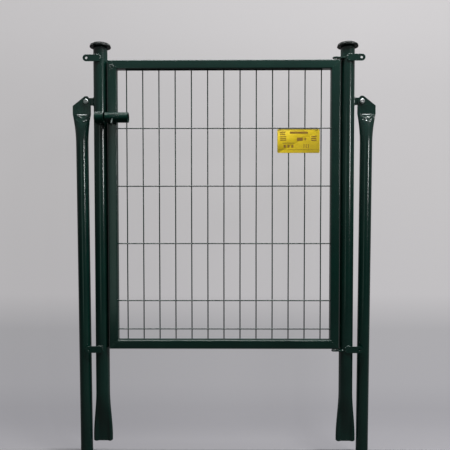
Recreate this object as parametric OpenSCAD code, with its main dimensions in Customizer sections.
// Garden fence gate: a welded mesh leaf hung between two round posts, with a
// hanging brace tube on each post. Millimetres, Z up, the front faces -Y.
// The origin is the middle of the hinge post's foot, on its end face.

/* [Posts] */
// Outside diameter of a post
post_d = 48; // [44:1:54]
// Wall of a post
post_wall = 1.5; // [1.2:0.1:2]
// Height of a post, from its foot to the cut end under the cap
post_h = 1382; // [1360:1:1500]
// Height of the tapered stretch above the foot
foot_h = 180; // [120:5:220]
// Diameter of a post cap
cap_d = 72; // [64:1:80]

/* [Leaf] */
// Width of the leaf over its stiles
leaf_w = 800; // [600:10:900]
// Height of the leaf over its rails
leaf_h = 1000; // [980:1:1010]
// Height of the leaf's underside above the foot
leaf_lift = 334; // [300:1:340]
// Side of the square frame tube
frame_tube = 30; // [28:1:34]
// Wall of the frame tube
frame_wall = 1.5; // [1.2:0.1:2]
// Gap between the leaf and each post
side_gap = 5; // [5:0.5:10]

/* [Mesh] */
// Diameter of a mesh wire
wire_d = 4; // [3:0.5:5]
// Number of upright wires
upright_count = 13; // [9:1:17]
// Distance between upright wires
upright_pitch = 56.2; // [40:0.1:58]
// Distance between level wires
level_pitch = 200; // [150:5:200]

/* [Braces] */
// Outside diameter of a brace tube
brace_d = 42; // [38:1:44]
// Length of a brace from its bolt to its open end
brace_l = 1250; // [900:1:1300]
// Height of the brace bolts above the foot
bolt_z = 1197; // [1100:1:1230]
// Thickness of the pressed brace head
head_t = 3.2; // [3:0.1:4]

/* [Latch] */
// Outside diameter of the latch barrel
barrel_d = 35; // [33:1:38]
// Length of the latch barrel
barrel_l = 78; // [76:1:90]
// Height of the latch above the foot
latch_z = 1134; // [1000:1:1150]
// Travel of the latch bolt
bolt_travel = 20; // [14:1:20]

/* [Hidden] */

paint = "darkslategrey";
plastic = "black";
zinc = "silver";
round_fn = 64;

// Places of the two posts and of the leaf between them
post_r = post_d / 2;
post_gap = leaf_w + 2 * side_gap + post_d;
leaf_right = -post_r - side_gap;
leaf_left = leaf_right - leaf_w;
leaf_top = leaf_lift + leaf_h;
leaf_y = frame_tube / 2 - post_r;
leaf_front = -post_r;
inner_left = leaf_left + frame_tube;
inner_right = leaf_right - frame_tube;
inner_low = leaf_lift + frame_tube;
inner_top = leaf_top - frame_tube;
frame_corner = 3;

// Pivot line of the leaf, 9 behind its front face
pivot_x = leaf_right - frame_tube / 2;
pivot_y = leaf_front + 9;
pin_r = 5;
pin_clear = 0.4;
pin_reach = 22;
collar_r = 8;
pivot_gap = 5;
lug_t = 4;

// Pressed sections: the tube's middle line keeps its length as it is pressed
foot_tip = 16;
foot_lobe = 6.2;
foot_slot = 0.5;
foot_run = 13;
head_lobe = head_t / 2 - 0.55;
head_run = 2;
ring_n = 40;
brace_wall = 1.5;
head_low = 44;
head_taper = 115;

// Heights of the upper and lower lugs for the fence's line wires
wire_lug_top = leaf_top + 6.5;
wire_lug_low = leaf_lift - 2;

// Braces: the bolt's and the tube's distances from the post's middle
bolt_out = 52;
brace_out = 67.5;
brace_y = 3;
brace_lean = 0.36;
bolt_r = 4;
part_gap = 0.3;

// Latch: the barrel lies on the front of the latch stile
latch_y = leaf_front - barrel_d / 2 + 0.2;
barrel_left = leaf_left - 3.5;
barrel_wall = 1.5;
latch_bolt_r = barrel_d / 2 - barrel_wall - 2;
latch_bolt_l = 63;
handle_x = barrel_left + 26;
handle_t = 4;
handle_w = 14;
handle_turn = 45;
keeper_d = barrel_d + 4;
keeper_l = 30;
keeper_left = -post_gap - 10;

// ---- sections and tubes ----

// One point of a pressed tube's middle line: s runs along a quarter of it,
// from the side to the middle
function pressed_point(s, quarter, lobe, web, run) =
    let (bend = lobe * PI / 2, side = quarter - bend)
    s < bend
        ? [side + lobe * cos(s / lobe * 180 / PI), lobe * sin(s / lobe * 180 / PI)]
        : let (along = s - bend, rise = (1 + cos(180 * min(along / run, 1))) / 2)
          [side - along, web + (lobe - web) * rise];

// The middle line of a tube of radius r, pressed by the share press
function section_line(r, press, lobe, web, run) =
    let (quarter = r * PI / 2, per = ring_n / 4)
    [for (i = [0:ring_n - 1])
        let (
            q = floor(i / per),
            k = i - q * per,
            step = (q % 2 == 0) ? k : per - k,
            p = pressed_point(quarter * step / per, quarter, lobe, web, run),
            sx = (q == 0 || q == 3) ? 1 : -1,
            sy = (q < 2) ? 1 : -1,
            a = 360 * i / ring_n
        )
        [(1 - press) * r * cos(a) + press * sx * p[0],
         (1 - press) * r * sin(a) + press * sy * p[1]]];

// A closed line moved sideways by d, outwards when d is positive
function moved_line(line, d) =
    let (n = len(line))
    [for (i = [0:n - 1])
        let (t = line[(i + 1) % n] - line[(i + n - 1) % n])
        line[i] + d * [t[1], -t[0]] / norm(t)];

// A hollow skin through two stacks of rings, outside and inside, from low to high
module hollow_loft(outside, inside, heights) {
    n = len(outside[0]);
    m = len(heights);
    points = concat(
        [for (k = [0:m - 1]) for (p = outside[k]) [p[0], p[1], heights[k]]],
        [for (k = [0:m - 1]) for (p = inside[k]) [p[0], p[1], heights[k]]]
    );
    inner = m * n;
    faces = concat(
        [for (k = [0:m - 2]) for (i = [0:n - 1])
            let (a = k * n + i, b = k * n + (i + 1) % n)
            each [[a, a + n, b + n], [a, b + n, b]]],
        [for (k = [0:m - 2]) for (i = [0:n - 1])
            let (a = inner + k * n + i, b = inner + k * n + (i + 1) % n)
            each [[a, b + n, a + n], [a, b, b + n]]],
        [for (i = [0:n - 1])
            let (a = i, b = (i + 1) % n)
            each [[a, b, inner + b], [a, inner + b, inner + a]]],
        [for (i = [0:n - 1])
            let (a = (m - 1) * n + i, b = (m - 1) * n + (i + 1) % n)
            each [[a, inner + b, b], [a, inner + a, inner + b]]]
    );
    polyhedron(points = points, faces = faces);
}

// A round tube along Z
module tube(d, wall, low, high) {
    difference() {
        translate([0, 0, low]) cylinder(d = d, h = high - low, $fn = round_fn);
        translate([0, 0, low - 1]) cylinder(d = d - 2 * wall, h = high - low + 2, $fn = round_fn);
    }
}

// A pressed stretch that ends against a round tube: press goes from 1 at its
// first height to 0 at its last one, which lies inside the tube's end face
module pressed_stretch(d, wall, lobe, web, run, heights, presses) {
    mid = (d - wall) / 2;
    last = len(heights) - 1;
    sag = 1 / cos(180 / ring_n);
    inset = 0.05;
    lines = [for (p = presses) section_line(mid, p, lobe, web, run)];
    outside = [for (k = [0:last]) moved_line(lines[k], wall / 2 - (k == last ? inset : 0))];
    inside = [for (k = [0:last])
        k == last
            ? [for (p = lines[k]) p * ((mid - wall / 2) * sag + inset) / mid]
            : moved_line(lines[k], -wall / 2)];
    hollow_loft(outside, inside, heights);
}

// A bar's outline with a round end at x = l
module bar_outline(l, w) {
    union() {
        translate([0, -w / 2]) square([l, w]);
        translate([l, 0]) circle(d = w, $fn = round_fn);
    }
}

// Moves its children to the latch post and turns them to face outwards
module at_latch_post() {
    translate([-post_gap, 0, 0]) mirror([1, 0, 0]) children();
}

// ---- posts ----

module post() {
    web = (post_wall + foot_slot) / 2;
    mid = (post_d - post_wall) / 2;
    rings = 9;
    span = foot_h - foot_tip;
    tip_line = section_line(mid, 1, foot_lobe, web, foot_run);
    tip_edge = mid * PI / 2 - foot_lobe * PI / 2 + foot_lobe + post_wall / 2;
    color(paint) union() {
        tube(post_d, post_wall, foot_h, post_h);
        pressed_stretch(
            post_d, post_wall, foot_lobe, web, foot_run,
            [for (k = [0:rings]) foot_tip + span * k / rings],
            [for (k = [0:rings]) let (t = k / rings) 1 - t * t * (3 - 2 * t)]
        );
        // The pressed tip, its ends rising a little from a flat middle
        intersection() {
            linear_extrude(foot_tip) difference() {
                polygon(moved_line(tip_line, post_wall / 2));
                for (side = [-1, 1]) intersection() {
                    polygon(moved_line(tip_line, -post_wall / 2));
                    translate([side * tip_edge - 9, -10]) square([18, 20]);
                }
            }
            translate([0, 20, 0]) rotate([90, 0, 0]) linear_extrude(40) polygon([
                [-22, 0], [22, 0], [30, 1.2], [tip_edge + 1, 4],
                [tip_edge + 1, foot_tip + 1], [-tip_edge - 1, foot_tip + 1], [-tip_edge - 1, 4], [-30, 1.2]
            ]);
        }
    }
}

// A cap with a lip, a full round shoulder and a flat dome, and a plug in the tube
module post_cap() {
    lip = 4.5;
    lip_out = 1;
    shoulder = 9;
    crown = 2.5;
    plug_r = post_r - post_wall - 0.2;
    flat_r = cap_d / 2 - lip_out - shoulder;
    crown_r = (flat_r * flat_r + crown * crown) / (2 * crown);
    low = lip + shoulder + crown - crown_r;
    color(plastic) translate([0, 0, post_h]) union() {
        rotate_extrude($fn = round_fn) polygon(concat(
            [[0, 0], [cap_d / 2, 0], [cap_d / 2, lip]],
            [for (a = [0:15:75]) [flat_r + shoulder * cos(a), lip + shoulder * sin(a)]],
            [for (k = [4:-1:1]) let (x = flat_r * k / 4) [x, low + sqrt(crown_r * crown_r - x * x)]],
            [[0, low + crown_r]]
        ));
        translate([0, 0, -14]) difference() {
            cylinder(r = plug_r, h = 15, $fn = round_fn);
            translate([0, 0, -1]) cylinder(r = plug_r - 2, h = 15, $fn = round_fn);
        }
    }
}

// A drilled flat bar on the front of the post, for the fence's line wire
module wire_lug(z) {
    w = 23;
    start = -5;
    hole_x = 42.5;
    bite = 0.8;
    color(paint) difference() {
        translate([start, bite - post_r, z]) rotate([90, 0, 0]) linear_extrude(lug_t) difference() {
            bar_outline(hole_x + 1 - start, w);
            translate([hole_x - start, 0]) circle(d = 8.5, $fn = round_fn);
        }
        cylinder(r = post_r, h = post_h, $fn = round_fn);
    }
}

// The bar that carries the brace, on the side of the post
module brace_lug() {
    w = 26;
    back = brace_y + head_t / 2 + part_gap;
    color(paint) difference() {
        translate([10, back + lug_t, bolt_z]) rotate([90, 0, 0]) linear_extrude(lug_t) difference() {
            bar_outline(bolt_out - 10, w);
            translate([bolt_out - 10, 0]) circle(r = bolt_r + 0.25, $fn = round_fn);
        }
        cylinder(r = post_r, h = post_h, $fn = round_fn);
    }
}

// Hexagon bolt with washers and nut through the brace head and its lug
module brace_bolt() {
    front = brace_y - head_t / 2 - part_gap;
    back = brace_y + head_t / 2 + part_gap + lug_t;
    washer_t = 1.6;
    head_h = 5.3;
    nut_h = 6.5;
    hex_d = 13 / cos(30);
    color(zinc) translate([bolt_out, 0, bolt_z]) rotate([90, 0, 0]) union() {
        translate([0, 0, -back - nut_h - 4]) cylinder(r = bolt_r, h = back - front + nut_h + 4, $fn = 48);
        translate([0, 0, -front]) cylinder(d = 17, h = washer_t, $fn = 48);
        translate([0, 0, -front + washer_t]) cylinder(d = hex_d, h = head_h, $fn = 6);
        translate([0, 0, -back - nut_h]) cylinder(d = hex_d, h = nut_h, $fn = 6);
    }
}

// ---- pivots of the leaf ----

// A gusset plate that reaches from the post to the pivot line, with radius tip_r round it
module pivot_lug(low, tip_r) {
    base_r = 19;
    reach = norm([pivot_x, pivot_y]);
    base = 9;
    edge_r = tip_r - 0.05;
    slope = asin((base_r - edge_r) / (reach - base));
    edge = [
        [base + base_r * sin(slope), base_r * cos(slope)],
        [reach + edge_r * sin(slope), edge_r * cos(slope)]
    ];
    color(paint) difference() {
        rotate([0, 0, 180 + atan(pivot_y / pivot_x)]) translate([0, 0, low]) union() {
            linear_extrude(lug_t)
                polygon([edge[0], edge[1], [edge[1][0], -edge[1][1]], [edge[0][0], -edge[0][1]]]);
            translate([reach, 0, 0]) cylinder(r = tip_r, h = lug_t, $fn = round_fn);
        }
        cylinder(r = post_r, h = post_h, $fn = round_fn);
    }
}

// The top pin is welded under its lug and reaches into the top rail's corner
module top_pivot_pin() {
    color(zinc) translate([pivot_x, pivot_y, leaf_top - pin_reach])
        cylinder(r = pin_r, h = pin_reach + pivot_gap, $fn = round_fn);
}

// The bottom pin is welded on its lug and carries the leaf on its collar
module bottom_pivot_pin() {
    color(zinc) translate([pivot_x, pivot_y, leaf_lift - pivot_gap]) union() {
        cylinder(r = pin_r, h = pin_reach + pivot_gap, $fn = round_fn);
        cylinder(r = collar_r, h = pivot_gap - part_gap, $fn = round_fn);
    }
}

// ---- leaf ----

// Outline of the square frame tube, round at its corners
module square_outline(side, corner) {
    union() {
        translate([-side / 2, -side / 2 + corner]) square([side, side - 2 * corner]);
        translate([-side / 2 + corner, -side / 2]) square([side - 2 * corner, side]);
        for (x = [-1, 1]) for (y = [-1, 1])
            translate([x * (side / 2 - corner), y * (side / 2 - corner)]) circle(r = corner, $fn = 32);
    }
}

// A frame tube along Z, from 0 to l, cut at 45 degrees so that its -X side is the long one
module mitred_tube(l) {
    intersection() {
        linear_extrude(l) difference() {
            square_outline(frame_tube, frame_corner);
            square_outline(frame_tube - 2 * frame_wall, frame_corner - frame_wall);
        }
        translate([-frame_tube / 2, frame_tube, 0]) rotate([90, 0, 0]) linear_extrude(2 * frame_tube)
            polygon([[0, 0], [frame_tube, frame_tube], [frame_tube, l - frame_tube], [0, l]]);
    }
}

module latch_stile() {
    color(paint) translate([leaf_left + frame_tube / 2, leaf_y, leaf_lift]) mitred_tube(leaf_h);
}

module hinge_stile() {
    color(paint) translate([leaf_right - frame_tube / 2, leaf_y, leaf_lift])
        mirror([1, 0, 0]) mitred_tube(leaf_h);
}

// A rail, long side down, with the hole that turns on a pivot pin
module rail() {
    difference() {
        translate([leaf_left, leaf_y, frame_tube / 2]) rotate([0, 90, 0]) mirror([1, 0, 0]) mitred_tube(leaf_w);
        translate([pivot_x, pivot_y, -2]) cylinder(r = pin_r + pin_clear, h = 2 * frame_wall + 2, $fn = round_fn);
    }
}

module bottom_rail() {
    color(paint) translate([0, 0, leaf_lift]) rail();
}

module top_rail() {
    color(paint) translate([0, 0, leaf_top]) mirror([0, 0, 1]) rail();
}

// Upright wires behind level wires, pressed a little into each other where they cross
module mesh_panel() {
    sink = 0.3;
    depth = wire_d / 2 - sink;
    first = (inner_left + inner_right) / 2 - upright_pitch * (upright_count - 1) / 2;
    level = [
        inner_low + 37.5,
        for (k = [0:3]) inner_low + 137.5 + k * level_pitch
    ];
    color(paint) union() {
        for (k = [0:upright_count - 1])
            translate([first + k * upright_pitch, leaf_y + depth, inner_low])
                rotate([0, 0, 22.5]) cylinder(d = wire_d, h = inner_top - inner_low, $fn = 8);
        for (z = level)
            translate([inner_left, leaf_y - depth, z])
                rotate([0, 90, 0]) rotate([0, 0, 22.5]) cylinder(d = wire_d, h = inner_right - inner_left, $fn = 8);
        translate([first - 3, leaf_y - depth, inner_top - wire_d / 2])
            rotate([0, 90, 0]) rotate([0, 0, 22.5])
                cylinder(d = wire_d, h = upright_pitch * (upright_count - 1) + 6, $fn = 8);
    }
}

// ---- latch ----

// Lies along X from x = 0 to l
module along_x(l, r) {
    rotate([0, 90, 0]) cylinder(r = r, h = l, $fn = round_fn);
}

// Open tube welded flat on the stile, with a slot for the handle
module latch_barrel() {
    clear = 1.5;
    slot_w = handle_w + 2 * clear;
    slot_l = bolt_travel + handle_t + 2 * clear;
    color(paint) difference() {
        translate([barrel_left, latch_y, latch_z]) along_x(barrel_l, barrel_d / 2);
        translate([barrel_left - 1, latch_y, latch_z]) along_x(barrel_l + 2, barrel_d / 2 - barrel_wall);
        translate([barrel_left - 1, leaf_front, latch_z - barrel_d]) cube([barrel_l + 2, barrel_d, 2 * barrel_d]);
        translate([handle_x + handle_t / 2 + clear - slot_l, latch_y, latch_z]) rotate([handle_turn, 0, 0])
            translate([0, -barrel_d, -slot_w / 2]) cube([slot_l, barrel_d, slot_w]);
    }
}

module latch_bolt() {
    color(zinc) translate([barrel_left + 0.5, latch_y, latch_z]) difference() {
        along_x(latch_bolt_l, latch_bolt_r);
        translate([4, 0, 0]) along_x(latch_bolt_l, latch_bolt_r - 3);
    }
}

// Flat tab with a padlock eye, welded to the bolt through the barrel's slot
module latch_handle() {
    eye_out = 34;
    color(zinc) translate([handle_x - handle_t / 2, latch_y, latch_z]) rotate([handle_turn, 0, 0]) difference() {
        rotate([0, 90, 0]) linear_extrude(handle_t) difference() {
            rotate([0, 0, -90]) bar_outline(eye_out, handle_w);
            translate([0, -eye_out]) circle(d = 6.5, $fn = round_fn);
        }
        translate([-1, 0, 0]) along_x(handle_t + 2, latch_bolt_r);
    }
}

// Short tube seated on the front of the latch post
module latch_keeper() {
    color(paint) difference() {
        translate([keeper_left, latch_y, latch_z]) along_x(keeper_l, keeper_d / 2);
        translate([keeper_left - 1, latch_y, latch_z]) along_x(keeper_l + 2, keeper_d / 2 - barrel_wall);
        translate([-post_gap, 0, 0]) cylinder(r = post_r, h = post_h, $fn = round_fn);
    }
}

// ---- braces ----

// A brace hangs from x = 0, z = 0, its bolt; +X points away from the post
module brace_body() {
    axis = brace_out - bolt_out;
    quarter = (brace_d - brace_wall) * PI / 4;
    half = quarter - head_lobe * PI / 2 + head_lobe + brace_wall / 2;
    web = head_t / 2 - brace_wall / 2;
    rings = 8;
    difference() {
        union() {
            // The flat head, cut aslant at its top
            translate([0, head_t / 2, 0]) rotate([90, 0, 0]) linear_extrude(head_t) polygon([
                [axis - half, -head_low], [axis + half, -head_low], [axis + half, -16], [axis + half - 1, -14.5],
                [5.5, 17.5], [3, 18.5], [-4.5, 18.5], [-8, 16], [-14.5, 6], [axis - half, -18]
            ]);
            translate([axis, 0, 0]) mirror([0, 0, 1]) union() {
                pressed_stretch(
                    brace_d, brace_wall, head_lobe, web, head_run,
                    [for (k = [0:rings]) head_low + head_taper * k / rings],
                    [for (k = [0:rings]) pow(1 - k / rings, 2)]
                );
                tube(brace_d, brace_wall, head_low + head_taper, brace_l);
            }
        }
        rotate([90, 0, 0]) translate([0, 0, -10]) cylinder(r = bolt_r + 0.5, h = 20, $fn = round_fn);
    }
}

module brace() {
    color(paint) translate([bolt_out, brace_y, bolt_z]) rotate([0, brace_lean, 0]) brace_body();
}

post();  // hinge_post
at_latch_post() post();  // latch_post
post_cap();  // hinge_post_cap
at_latch_post() post_cap();  // latch_post_cap
wire_lug(wire_lug_top);  // hinge_post_top_lug
at_latch_post() wire_lug(wire_lug_top);  // latch_post_top_lug
wire_lug(wire_lug_low);  // hinge_post_low_lug
at_latch_post() wire_lug(wire_lug_low);  // latch_post_low_lug
brace_lug();  // hinge_post_brace_lug
at_latch_post() brace_lug();  // latch_post_brace_lug
brace_bolt();  // hinge_side_brace_bolt
at_latch_post() brace_bolt();  // latch_side_brace_bolt
pivot_lug(leaf_top + pivot_gap, 11);  // top_pivot_lug
pivot_lug(leaf_lift - pivot_gap - lug_t, 9);  // bottom_pivot_lug
top_pivot_pin();
bottom_pivot_pin();
latch_keeper();
hinge_stile();
latch_stile();
top_rail();
bottom_rail();
mesh_panel();
latch_barrel();
latch_bolt();
latch_handle();
brace();  // hinge_side_brace
at_latch_post() brace();  // latch_side_brace
